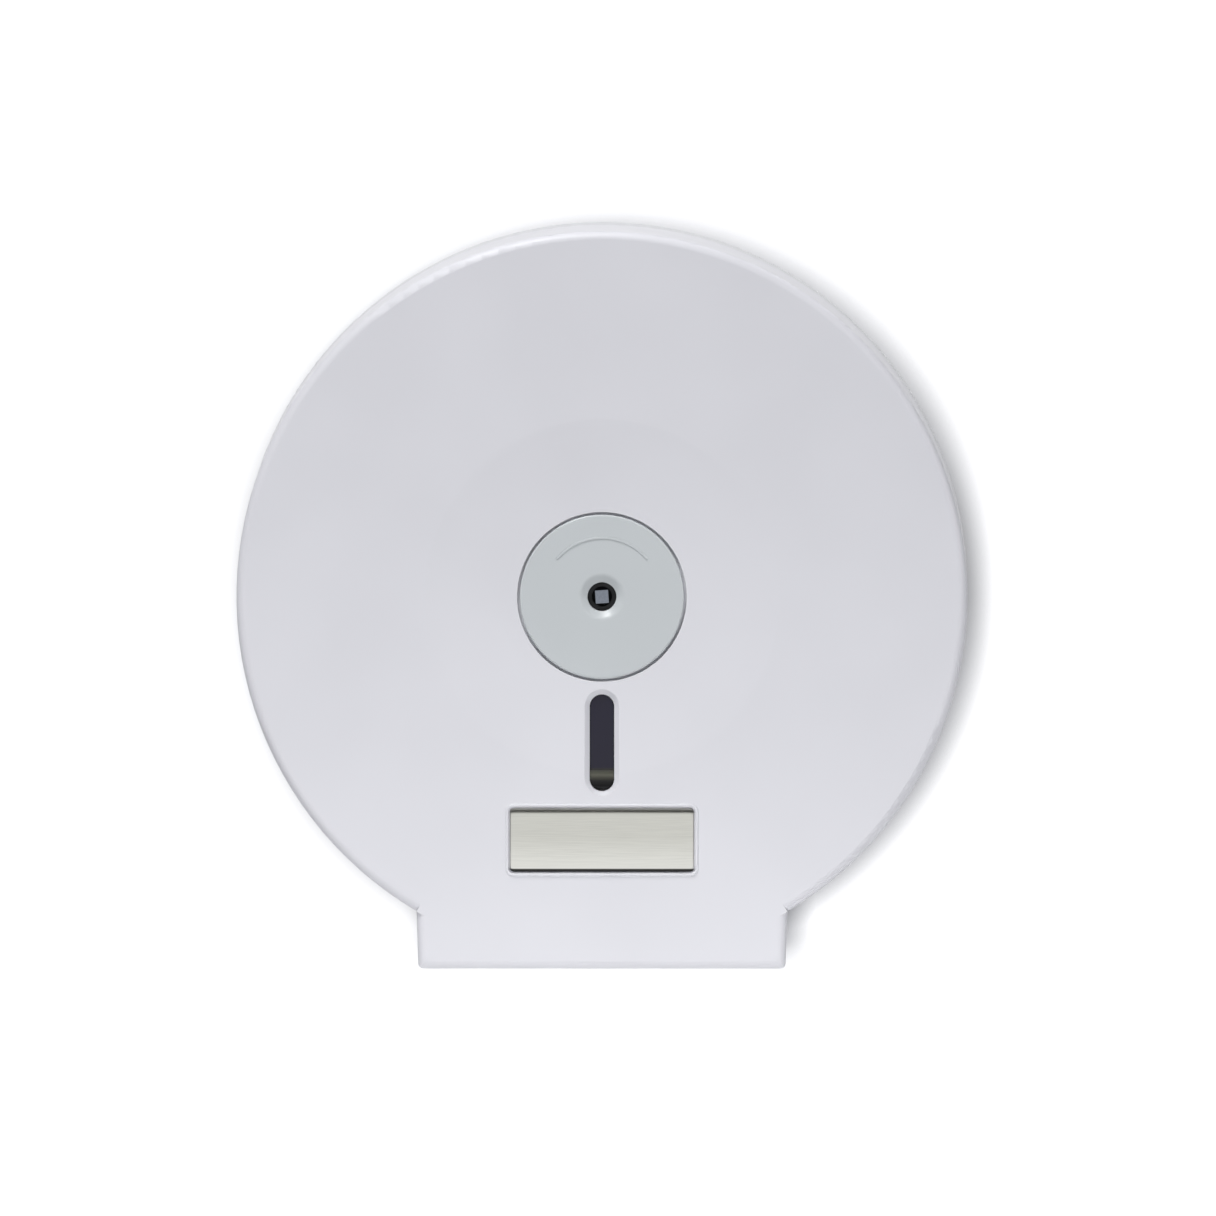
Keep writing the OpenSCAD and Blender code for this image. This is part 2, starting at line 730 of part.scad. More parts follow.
// Window slot: a straight stadium, and a flare whose ends are cones and whose sides are one prism
module window_cut() {
    flare_over = slot_flare * past / slot_flare_h;
    narrow = slot_w / 2 - flare_skin;
    wide = slot_open_w / 2 + flare_over;
    translate([0, -slot_drop, seat_z - past]) linear_extrude(case_depth - seat_z + 2 * past)
        rotate(90) slot_outline(slot_pitch, slot_w);
    translate([0, slot_low_y, case_depth]) rotate([-flare_tilt, 0, 0]) translate([0, 0, -slot_flare_h]) {
        for (y = [0, slot_pitch])
            translate([0, y, 0]) cylinder(h = slot_flare_h + past, r1 = narrow, r2 = wide);
        translate([0, slot_pitch, 0]) rotate([90, 0, 0]) linear_extrude(slot_pitch)
            polygon([[-narrow, 0], [narrow, 0], [wide, slot_flare_h + past], [-wide, slot_flare_h + past]]);
    }
}

module lens_outline(grow) {
    translate([0, -slot_drop]) rounded_rect(lens_w + 2 * grow, lens_h + 2 * grow, lens_corner_r);
}

// Arm that reaches back from the cover's foot to the hinge pin, and the rail for a tear bar
module cover_arm() {
    plate_between(arm_in, arm_out) {
        translate([hinge_z, hinge_y]) circle(knuckle_r);
        translate([hinge_z, hinge_y - knuckle_r]) square([tear_z0 - hinge_z, 2 * knuckle_r]);
    }
    plate_between(arm_in, rail_out)
        translate([tray_depth + part_gap, hinge_y - knuckle_r])
            square([tear_z0 - tray_depth - part_gap, 2 * knuckle_r]);
}

module tear_rail() {
    plate_between(rail_in, rail_out)
        translate([tear_z0 - bond, rail_y]) square([front_in - tear_z0 + 2 * bond, rail_h]);
}

module rivet_places() {
    step = (tear_len - 2 * rivet_edge) / (rivet_count - 1);
    for (i = [0:rivet_count - 1])
        translate([0, rivet_y, tear_z0 + rivet_edge + i * step]) rotate([0, 90, 0]) children();
}

module cover_ribs() {
    for (a = [cover_rib_first:cover_rib_step:cover_rib_last])
        rotate(a) translate([cover_rib_from, -cover_rib_t / 2, front_in - cover_rib_h])
            cube([inner_r(front_in) - cover_rib_from + bond, cover_rib_t, cover_rib_h + bond]);
}

// Half-round bead around the name plate's recess
module plate_frame() {
    r = plate_frame_w / 2;
    half_w = plate_recess_w / 2 + r - plate_frame_cut;
    half_h = plate_recess_h / 2 + r - plate_frame_cut;
    bend = plate_corner_r + r - plate_frame_cut;
    translate([0, -plate_drop, case_depth + plate_frame_h - r]) {
        for (s = [-1, 1]) {
            translate([0, s * half_h, 0]) rotate([0, 90, 0])
                cylinder(h = 2 * (half_w - bend), r = r, center = true);
            translate([s * half_w, 0, 0]) rotate([90, 0, 0])
                cylinder(h = 2 * (half_h - bend), r = r, center = true);
        }
        for (i = [0:3])
            translate([(i == 0 || i == 3 ? 1 : -1) * (half_w - bend), (i < 2 ? 1 : -1) * (half_h - bend), 0])
                rotate(i * 90) rotate_extrude(angle = 90) translate([bend, 0]) circle(r);
    }
}

module front_cover() {
    seat_top = case_depth - dish_depth - wall_t / 2;
    color(case_colour) stand() difference() {
        union() {
            difference() {
                union() {
                    drum(tray_depth);
                    foot_block(tray_depth);
                }
                drum_edge_cut();
                drum_space(tray_depth - past);
                translate([0, 0, tray_depth - past])
                    linear_extrude(front_in - tray_depth + past) foot_space_outline();
            }
            translate([0, 0, seat_z]) cylinder(h = seat_top - seat_z, d = seat_boss_d);
            translate([0, 0, seat_z]) linear_extrude(front_in - seat_z + bond) lens_outline(pad_edge);
            cover_ribs();
            both_sides() cover_arm();
            both_sides() tear_rail();
            plate_frame();
        }
        translate([0, 0, disc_back_z]) cylinder(h = case_depth, d = disc_pocket_d);
        translate([0, 0, seat_z - past]) cylinder(h = seat_floor_t + 2 * past, d = key_hole_d);
        at_angles(3, housing_screw_r, 90)
            translate([0, 0, seat_z - past]) cylinder(h = seat_floor_t + 2 * past, d = stud_d + screw_play);
        window_cut();
        for (s = [-1, 1])
            translate([s * lens_screw_x, -slot_drop, seat_z - past])
                cylinder(h = case_depth - screw_skin - seat_z, d = small_screw_d);
        translate([0, -plate_drop, case_depth - plate_recess_t])
            linear_extrude(far) rounded_rect(plate_recess_w, plate_recess_h, plate_corner_r);
        both_sides() plate_between(arm_in - past, arm_out + past)
            translate([hinge_z, hinge_y]) circle(pin_d / 2 + pin_clear);
        both_sides() rivet_places() translate([0, 0, rail_in - past])
            cylinder(h = rivet_end - rail_in + past, d = rivet_d);
    }
}

// Side view of the sill: half an ellipse on the lens's face
function sill_points(steps = 12) = concat([[-bond, sill_half]], [for (i = [0:steps])
    let (a = 90 - i * 180 / steps) [sill_h * cos(a), sill_half * sin(a)]], [[-bond, -sill_half]]);

module window_lens() {
    color(lens_colour) stand() difference() {
        union() {
            translate([0, 0, seat_z - lens_t]) linear_extrude(lens_t) lens_outline(0);
            translate([0, -slot_drop, seat_z - bond]) linear_extrude(lens_face_z - seat_z + bond)
                rotate(90) slot_outline(slot_pitch, slot_w - 2 * lens_gap);
            intersection() {
                translate([0, -slot_drop, seat_z]) linear_extrude(case_depth - seat_z)
                    rotate(90) slot_outline(slot_pitch, slot_w - 2 * lens_gap);
                translate([0, -slot_drop - sill_drop, lens_face_z]) across(lens_w) polygon(sill_points());
            }
        }
        for (s = [-1, 1])
            translate([s * lens_screw_x, -slot_drop, seat_z - lens_t - past])
                cylinder(h = lens_t + 2 * past, d = small_screw_d + screw_play);
    }
}

module lens_screws() {
    color(steel_colour) stand() for (s = [-1, 1])
        translate([s * lens_screw_x, -slot_drop, seat_z - lens_t])
            pan_screw(small_screw_d, case_depth - screw_skin - past - small_screw_gap - seat_z + lens_t,
                small_head_d, small_head_t);
}

// Plate whose two long edges roll back towards the cover
module name_plate() {
    w = plate_recess_w - 2 * plate_gap;
    h = plate_recess_h - 2 * plate_gap;
    roll = [for (i = [0:8])
        let (a = 90 - i * 90 / 8)
        [plate_edge_t + (plate_t - plate_edge_t) * sin(a), h / 2 - plate_roll + plate_roll * cos(a)]];
    color(steel_colour) stand() translate([0, -plate_drop, case_depth - plate_recess_t]) intersection() {
        linear_extrude(plate_t) rounded_rect(w, h, plate_corner_r - plate_gap / 2);
        across(w) polygon(concat([[0, h / 2]], [for (i = [8:-1:0]) roll[i]],
            [for (i = [0:8]) [roll[i][0], -roll[i][1]]], [[0, -h / 2]]));
    }
}

// Escutcheon with the countersunk key hole, a raised arc over it, and three studs behind it
module lock_disc() {
    sink_slope = atan(key_sink_h / (key_sink_d - key_hole_d) * 2);
    sink_x = key_sink_d / 2 + key_sink_r * tan(sink_slope / 2);
    color(disc_colour) stand() difference() {
        union() {
            rotate_extrude() polygon(concat([[key_hole_d / 2, disc_back_z], [disc_d / 2, disc_back_z]],
                arc_points(disc_d / 2 - disc_edge_r, disc_face_z - disc_edge_r, disc_edge_r, 0, 90),
                arc_points(sink_x, disc_face_z - key_sink_r, key_sink_r, 90, 90 + sink_slope),
                [[key_hole_d / 2, disc_face_z - key_sink_h]]));
            at_angles(3, housing_screw_r, 90)
                translate([0, 0, seat_z]) cylinder(h = seat_floor_t + bond, d = stud_d);
            translate([0, 0, disc_face_z - bond])
                rotate_extrude(angle = mark_angle, start = 90 - mark_angle / 2)
                    translate([mark_r, 0]) square([mark_w, bond + mark_h]);
        }
        at_angles(3, housing_screw_r, 90) translate([0, 0, seat_z - past])
            cylinder(h = disc_face_z - screw_skin - seat_z + past, d = small_screw_d);
    }
}

// Bush behind the cover in which the bolt turns; its inner lip stops the bolt's barrel
module lock_housing() {
    color(housing_colour) stand() difference() {
        rotate_extrude() polygon([[lip_hole_d / 2, seat_z], [housing_flange_d / 2, seat_z],
            [housing_flange_d / 2, seat_z - housing_flange_t],
            [housing_tube_d / 2, seat_z - housing_flange_t],
            [housing_tube_d / 2, housing_end], [barrel_d / 2 + barrel_clear, housing_end],
            [barrel_d / 2 + barrel_clear, seat_z - housing_lip_t],
            [lip_hole_d / 2, seat_z - housing_lip_t]]);
        at_angles(3, housing_screw_r, 90) translate([0, 0, seat_z - housing_flange_t - past])
            cylinder(h = housing_flange_t + 2 * past, d = small_screw_d + screw_play);
    }
}

module disc_screws() {
    color(steel_colour) stand() at_angles(3, housing_screw_r, 90)
        translate([0, 0, seat_z - housing_flange_t])
            pan_screw(small_screw_d, housing_flange_t + disc_face_z - screw_skin - small_screw_gap - seat_z,
                small_head_d, small_head_t);
}

// Toothed strip, its teeth in a row down the side of the outlet
module tear_bar() {
    tooth_count = tear_len / tooth_pitch;
    difference() {
        plate_between(tear_x, rail_in)
            polygon(concat([[tear_z0 + tear_len, tear_top_y], [tear_z0, tear_top_y],
                [tear_z0, tear_tip_y + tooth_h]],
                [for (i = [0:tooth_count - 1]) each [
                    [tear_z0 + (i + 0.5) * tooth_pitch, tear_tip_y],
                    [tear_z0 + (i + 1) * tooth_pitch, tear_tip_y + tooth_h]]]));
        rivet_places() translate([0, 0, tear_x - past])
            cylinder(h = tear_t + 2 * past, d = rivet_d + screw_play);
    }
}

module tear_bar_left() {
    color(steel_colour) stand() mirror([1, 0, 0]) tear_bar();
}

module tear_bar_right() {
    color(steel_colour) stand() tear_bar();
}

module tear_bar_rivets() {
    color(steel_colour) stand() both_sides() rivet_places() {
        translate([0, 0, tear_x]) cylinder(h = rivet_end - tear_x, d = rivet_d);
        translate([0, 0, tear_x - rivet_head_t])
            cylinder(h = rivet_head_t, d1 = rivet_head_d * rivet_head_taper, d2 = rivet_head_d);
    }
}

// Square drive, barrel, stem and crossbar of the quarter-turn lock, in one casting
module lock_bolt() {
    color(steel_colour) stand() {
        rotate(key_turn) translate([-key_square / 2, -key_square / 2, barrel_top - bond])
            cube([key_square, key_square, square_top - barrel_top + bond]);
        rotate_extrude() polygon([[0, bar_z], [stem_d / 2, bar_z], [stem_d / 2, barrel_end],
            [barrel_d / 2, barrel_end], [barrel_d / 2, circlip_z], [circlip_in, circlip_z],
            [circlip_in, circlip_z + circlip_t], [barrel_d / 2, circlip_z + circlip_t],
            [barrel_d / 2, barrel_top], [0, barrel_top]]);
        translate([-bar_w / 2, -bar_len / 2, bar_z]) cube([bar_w, bar_len, bar_t]);
    }
}

module lock_washer() {
    color(steel_colour) stand() translate([0, 0, housing_end - washer_t]) difference() {
        cylinder(h = washer_t, d = washer_d);
        translate([0, 0, -past]) cylinder(h = washer_t + 2 * past, d = barrel_d + screw_play);
    }
}

module lock_circlip() {
    color(steel_colour) stand() translate([0, 0, circlip_z])
        open_ring(circlip_in, circlip_out, circlip_t, ring_opening * 1.5);
}

back_tray();
spindle_post();
spindle_screws();
friction_washer();
hub_retaining_ring();
lock_keeper();
keeper_screws();
hinge_pin_left();
hinge_pin_right();
core_hub();
front_cover();
window_lens();
lens_screws();
name_plate();
lock_disc();
lock_housing();
disc_screws();
tear_bar_left();
tear_bar_right();
tear_bar_rivets();
lock_bolt();
lock_washer();
lock_circlip();
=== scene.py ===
import math

import bpy
import numpy as np
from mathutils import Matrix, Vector


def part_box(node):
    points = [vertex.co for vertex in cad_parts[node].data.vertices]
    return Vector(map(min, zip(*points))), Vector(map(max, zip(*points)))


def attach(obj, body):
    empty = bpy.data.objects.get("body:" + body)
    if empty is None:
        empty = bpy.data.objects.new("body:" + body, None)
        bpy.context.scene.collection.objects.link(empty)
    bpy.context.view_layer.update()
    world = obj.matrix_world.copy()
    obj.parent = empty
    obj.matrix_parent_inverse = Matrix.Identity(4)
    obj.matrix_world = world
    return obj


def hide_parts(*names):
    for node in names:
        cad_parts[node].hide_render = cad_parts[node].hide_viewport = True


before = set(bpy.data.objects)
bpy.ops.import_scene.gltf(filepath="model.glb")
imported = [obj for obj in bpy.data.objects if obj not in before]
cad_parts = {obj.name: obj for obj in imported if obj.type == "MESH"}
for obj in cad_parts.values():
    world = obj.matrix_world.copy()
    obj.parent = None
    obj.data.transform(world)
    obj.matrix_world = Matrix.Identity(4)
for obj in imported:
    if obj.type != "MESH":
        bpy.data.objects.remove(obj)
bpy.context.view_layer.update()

mm = 0.001


# sRGB hex to linear: below 0.04045 the value is divided by 12.92, above it the 2.4 power curve holds
def linear(hexColour):
    values = [int(hexColour[i:i + 2], 16) / 255 for i in (1, 3, 5)]
    return tuple(v / 12.92 if v <= 0.04045 else ((v + 0.055) / 1.055) ** 2.4 for v in values) + (1.0,)


# one level in all three channels
def grey(level):
    return (level, level, level, 1.0)


# a colour times a factor, at most 1 in each channel
def scaled(colour, factor):
    return tuple(min(1.0, v * factor) for v in colour[:3]) + (1.0,)


# adds one node: plain settings are attributes, "sockets" maps an input to a value or to another node's
# output, and "stops" are the places and colours of a colour ramp
def addNode(tree, kind, sockets=None, stops=None, **settings):
    node = tree.nodes.new(kind)
    for name, value in settings.items():
        setattr(node, name, value)
    for name, value in (sockets or {}).items():
        if isinstance(value, bpy.types.NodeSocket):
            tree.links.new(value, node.inputs[name])
        else:
            node.inputs[name].default_value = value
    if stops:
        elements = node.color_ramp.elements
        while len(elements) < len(stops):
            elements.new(0.5)
        for element, (place, colour) in zip(elements, stops):
            element.position = place
            element.color = colour
    return node


# a new material, its tree, its shader with the given values, and the Object coordinates
def newMaterial(name, **shaderValues):
    material = bpy.data.materials.new(name)
    material.use_nodes = True
    tree = material.node_tree
    shader = tree.nodes["Principled BSDF"]
    for socket, value in shaderValues.items():
        shader.inputs[socket.replace("_", " ")].default_value = value
    place = addNode(tree, "ShaderNodeTexCoord").outputs["Object"]
    return material, tree, shader, place


# puts a material on CAD nodes, in every slot they have
def dress(nodeNames, material):
    for name in nodeNames:
        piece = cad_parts[name]
        for slot in piece.material_slots:
            slot.material = material
        if not piece.material_slots:
            piece.data.materials.append(material)


# a mesh piece from vertex and face arrays. Its volume is summed from the faces' corner products: where that
# is below zero, the closed mesh came out inside out, and its faces are turned
def meshPiece(name, vertices, faces, material, body, smooth=True):
    corners = vertices[faces[:, :3]]
    volume = np.einsum("ij,ij->i", corners[:, 0], np.cross(corners[:, 1], corners[:, 2])).sum()
    if faces.shape[1] == 4:
        others = vertices[faces[:, [0, 2, 3]]]
        volume += np.einsum("ij,ij->i", others[:, 0], np.cross(others[:, 1], others[:, 2])).sum()
    if volume < 0:
        faces = faces[:, ::-1]
    mesh = bpy.data.meshes.new(name)
    mesh.from_pydata(vertices.tolist(), [], faces.tolist())
    mesh.polygons.foreach_set("use_smooth", np.full(len(faces), smooth))
    mesh.materials.append(material)
    mesh.update()
    piece = bpy.data.objects.new(name, mesh)
    bpy.context.scene.collection.objects.link(piece)
    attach(piece, body)
    return piece


# quads of a grid of rows x columns points, wrapped round where it is closed
def gridFaces(rows, columns, wrapRows=False, wrapColumns=False):
    r = np.arange(rows if wrapRows else rows - 1)[:, None]
    c = np.arange(columns if wrapColumns else columns - 1)[None, :]
    r2, c2 = (r + 1) % rows, (c + 1) % columns
    corners = [r * columns + c, r * columns + c2, r2 * columns + c2, r2 * columns + c]
    return np.stack(corners, -1).reshape(-1, 4)


photo = {
    "widthPixels": 1216,
    "mmPerPixel": 0.3829,            # at the front face
    "centrePixels": (601.9, 597.0),  # where the hub's axis shows
    "distance": 5.0,                 # a long lens: the side walls hardly show
    "azimuth": 0.25,                 # degrees right of the square view
    "elevation": 2.12,               # degrees above it
    "frontY": -0.122,
    "sensorMm": 36.0,
    "clip": (0.05, 60.0),
}

backdrop = {
    "gap": 0.001, "width": 3.0, "height": 2.4, "floorZ": -1.1,
    "colour": "#8C8D92",                 # a mid paint, so the lamps' wide shadows stay faint
    "glow": 0.93,
    "paintedShadowReach": 0.0125,              # painted shadow: how far from the case ambient occlusion dims the glow
    "paintedShadowTilt": (-0.55, -1.0, 0.45),  # the painted shadow leans away from the key lamp
    "paintedShadowStart": 0.25,                # openness of the corner at which the glow is gone
    "paintedShadowSamples": 16,
}

lampSet = [
    # name, place, aim, size, power, seen in gloss
    # high and a little left: edges that look up shine
    ("keyLamp", (-0.42, -0.75, 1.45), (0, -0.1, 0.0), 0.7, 19.8, True),
    # opens the shade on the right
    ("sideLamp", (1.7, -0.7, 0.35), (0, -0.1, 0.0), 1.2, 5.0, False),
    # low and turned down: the foot is lighter
    ("lowLamp", (0.0, -0.75, -0.75), (0, 0.156, -1.173), 0.5, 12.4, False),
    # reaches only what faces the wall
    ("backLamp", (0.3, 2.3, 0.5), (0, 0.0, 0.0), 1.2, 17.0, False),
]

studio = {
    "softColour": "#F4F5FA", "softStrength": 0.32,   # the even light from all round
    "below": 0.45, "front": 0.9, "above": 0.25,      # what gloss and metal mirror, by height
    # the zones' ends as shares of the height, 0 straight down and 1 straight up
    "belowEnd": 0.28, "frontStart": 0.38, "frontEnd": 0.62, "aboveStart": 0.72,
}


# the camera stands back from the front face along its line of sight, and its lens gives the front face the
# photograph's scale
def makeCamera():
    spec = photo
    a, e = math.radians(spec["azimuth"]), math.radians(spec["elevation"])
    back = Vector((math.sin(a) * math.cos(e), -math.cos(a) * math.cos(e), math.sin(e)))
    rotation = (-back).to_track_quat("-Z", "Y")
    right, up = rotation @ Vector((1, 0, 0)), rotation @ Vector((0, 1, 0))
    middle = spec["widthPixels"] / 2
    offX = (middle - spec["centrePixels"][0]) * spec["mmPerPixel"] * mm
    offZ = (spec["centrePixels"][1] - middle) * spec["mmPerPixel"] * mm
    target = Vector((0, spec["frontY"], 0)) + right * offX + up * offZ
    data = bpy.data.cameras.new("photoCamera")
    camera = bpy.data.objects.new("photoCamera", data)
    bpy.context.scene.collection.objects.link(camera)
    camera.rotation_mode = "QUATERNION"
    camera.rotation_quaternion = rotation
    camera.location = target + back * spec["distance"]
    data.sensor_width = spec["sensorMm"]
    data.lens = spec["sensorMm"] * spec["distance"] / (spec["widthPixels"] * spec["mmPerPixel"] * mm)
    data.clip_start, data.clip_end = spec["clip"]
    bpy.context.scene.camera = camera


# round area lamps, each turned to its aim
def makeLamps():
    for name, place, aim, size, power, inGloss in lampSet:
        data = bpy.data.lights.new(name, "AREA")
        data.shape = "DISK"
        data.size = size
        data.energy = power
        lamp = bpy.data.objects.new(name, data)
        lamp.visible_glossy = inGloss
        lamp.location = place
        lamp.rotation_euler = (Vector(aim) - Vector(place)).to_track_quat("-Z", "Y").to_euler()
        bpy.context.scene.collection.objects.link(lamp)


# white for the camera, soft light for the object, and three grey zones by height for gloss
def makeWorld():
    spec = studio
    world = bpy.data.worlds.new("paleStudio")
    bpy.context.scene.world = world
    world.use_nodes = True
    tree = world.node_tree
    tree.nodes.clear()
    path = addNode(tree, "ShaderNodeLightPath")
    seen = addNode(tree, "ShaderNodeMath", {
        0: path.outputs["Is Camera Ray"], 1: path.outputs["Is Transmission Ray"]}, operation="MAXIMUM")
    soft = addNode(tree, "ShaderNodeBackground", {
        "Color": linear(spec["softColour"]), "Strength": spec["softStrength"]})
    direction = addNode(tree, "ShaderNodeTexCoord").outputs["Generated"]
    height = addNode(tree, "ShaderNodeSeparateXYZ", {0: direction}).outputs["Z"]
    share = addNode(tree, "ShaderNodeMapRange", {"Value": height, "From Min": -1.0, "From Max": 1.0})
    below, front, above = (grey(spec[zone]) for zone in ("below", "front", "above"))
    shine = addNode(tree, "ShaderNodeValToRGB", {"Fac": share.outputs[0]}, stops=[
        (0.0, below), (spec["belowEnd"], below), (spec["frontStart"], front),
        (spec["frontEnd"], front), (spec["aboveStart"], above), (1.0, above)])
    glossy = addNode(tree, "ShaderNodeBackground", {"Color": shine.outputs["Color"], "Strength": 1.0})
    white = addNode(tree, "ShaderNodeBackground", {"Color": grey(1.0), "Strength": 1.0})
    lit = addNode(tree, "ShaderNodeMixShader", {
        0: path.outputs["Is Glossy Ray"], 1: soft.outputs[0], 2: glossy.outputs[0]})
    mixed = addNode(tree, "ShaderNodeMixShader", {
        0: seen.outputs[0], 1: lit.outputs[0], 2: white.outputs[0]})
    addNode(tree, "ShaderNodeOutputWorld", {"Surface": mixed.outputs[0]})


# a flat sheet from its corner, and two edges
def flatSheet(name, corner, edgeA, edgeB):
    c, a, b = np.array(corner), np.array(edgeA), np.array(edgeB)
    mesh = bpy.data.meshes.new(name)
    mesh.from_pydata([tuple(p) for p in (c, c + a, c + a + b, c + b)], [], [(0, 1, 2, 3)])
    mesh.update()
    sheet = bpy.data.objects.new(name, mesh)
    bpy.context.scene.collection.objects.link(sheet)
    return sheet


# wall and floor in pale paint that glows a little for the camera; near the case ambient occlusion dims the
# glow, a painted shadow, so only that and the lamps' faint shadows fall below white; their backs are clear,
# and they throw no light on the object
def makeStage():
    spec = backdrop
    w, h, z = spec["width"], spec["height"], spec["floorZ"]
    wall = flatSheet("backdropWall", (-w / 2, spec["gap"], z), (w, 0, 0), (0, 0, h))
    floor = flatSheet("paleFloor", (-w / 2, spec["gap"], z), (0, -w, 0), (w, 0, 0))
    material = bpy.data.materials.new("palePaint")
    material.use_nodes = True
    tree = material.node_tree
    tree.nodes.clear()
    paint = addNode(tree, "ShaderNodeBsdfDiffuse", {"Color": linear(spec["colour"])})
    # painted shadow: ambient occlusion round a tilted normal dims the glow near the case
    tilt = Vector(spec["paintedShadowTilt"]).normalized()
    leaning = addNode(tree, "ShaderNodeCombineXYZ", dict(zip("XYZ", tilt)))
    paintedShadow = addNode(tree, "ShaderNodeAmbientOcclusion", {
        "Distance": spec["paintedShadowReach"], "Normal": leaning.outputs[0]}, samples=spec["paintedShadowSamples"])
    glowing = addNode(tree, "ShaderNodeMapRange", {
        "Value": paintedShadow.outputs["AO"], "From Min": spec["paintedShadowStart"], "To Max": spec["glow"]})
    glow = addNode(tree, "ShaderNodeEmission", {"Color": grey(1.0), "Strength": glowing.outputs["Result"]})
    both = addNode(tree, "ShaderNodeAddShader", {0: paint.outputs[0], 1: glow.outputs[0]})
    clear = addNode(tree, "ShaderNodeBsdfTransparent")
    facing = addNode(tree, "ShaderNodeNewGeometry").outputs["Backfacing"]
    mixed = addNode(tree, "ShaderNodeMixShader", {0: facing, 1: both.outputs[0], 2: clear.outputs[0]})
    addNode(tree, "ShaderNodeOutputMaterial", {"Surface": mixed.outputs[0]})
    for sheet in (wall, floor):
        sheet.data.materials.append(material)
        sheet.visible_diffuse = False
        sheet.visible_glossy = False
        sheet.visible_transmission = False
        sheet.visible_shadow = False


makeCamera()
makeLamps()
makeWorld()
makeStage()
bpy.context.scene.view_settings.view_transform = "Standard"
print("camera, lamps and backdrop made")


plasticSkin = {
    "ior": 1.53,
    "waveMm": 45.0, "waveDark": 0.985, "waveLight": 1.01,   # slow waves, and what they do to the colour
    "waveFrom": 0.35, "waveTo": 0.65,                       # noise levels of the two colours
    "patchMm": 18.0, "patchFrom": 0.3, "patchTo": 0.7,      # patches of another gloss
    "rubbed": 0.05,                                         # how far they move the roughness
    "edgeMm": 0.35, "edgeSamples": 4,                       # a mould leaves no sharp edge
}

plasticPaintedLight = {
    "highlightMm": 1.1, "highlightGain": 1.25, "highlightShare": 0.8,   # painted highlight: edges that stand out are made lighter
    "leanFrom": 0.94, "leanTo": 0.78,         # cosine of the lean at which this starts and is full
    "highlightSamples": 6,
    "openFrom": 0.7,                          # an edge in a corner darker than this gets no painted highlight
    "gapShadeColour": "#77736B", "gapShadeMm": 1.2,   # painted shade, in a dust colour, lies in gaps narrower than this
    "gapShadeFrom": 0.5, "gapShadeTo": 0.2,           # openness at which it starts and is full
    "gapShadeSamples": 4,
}


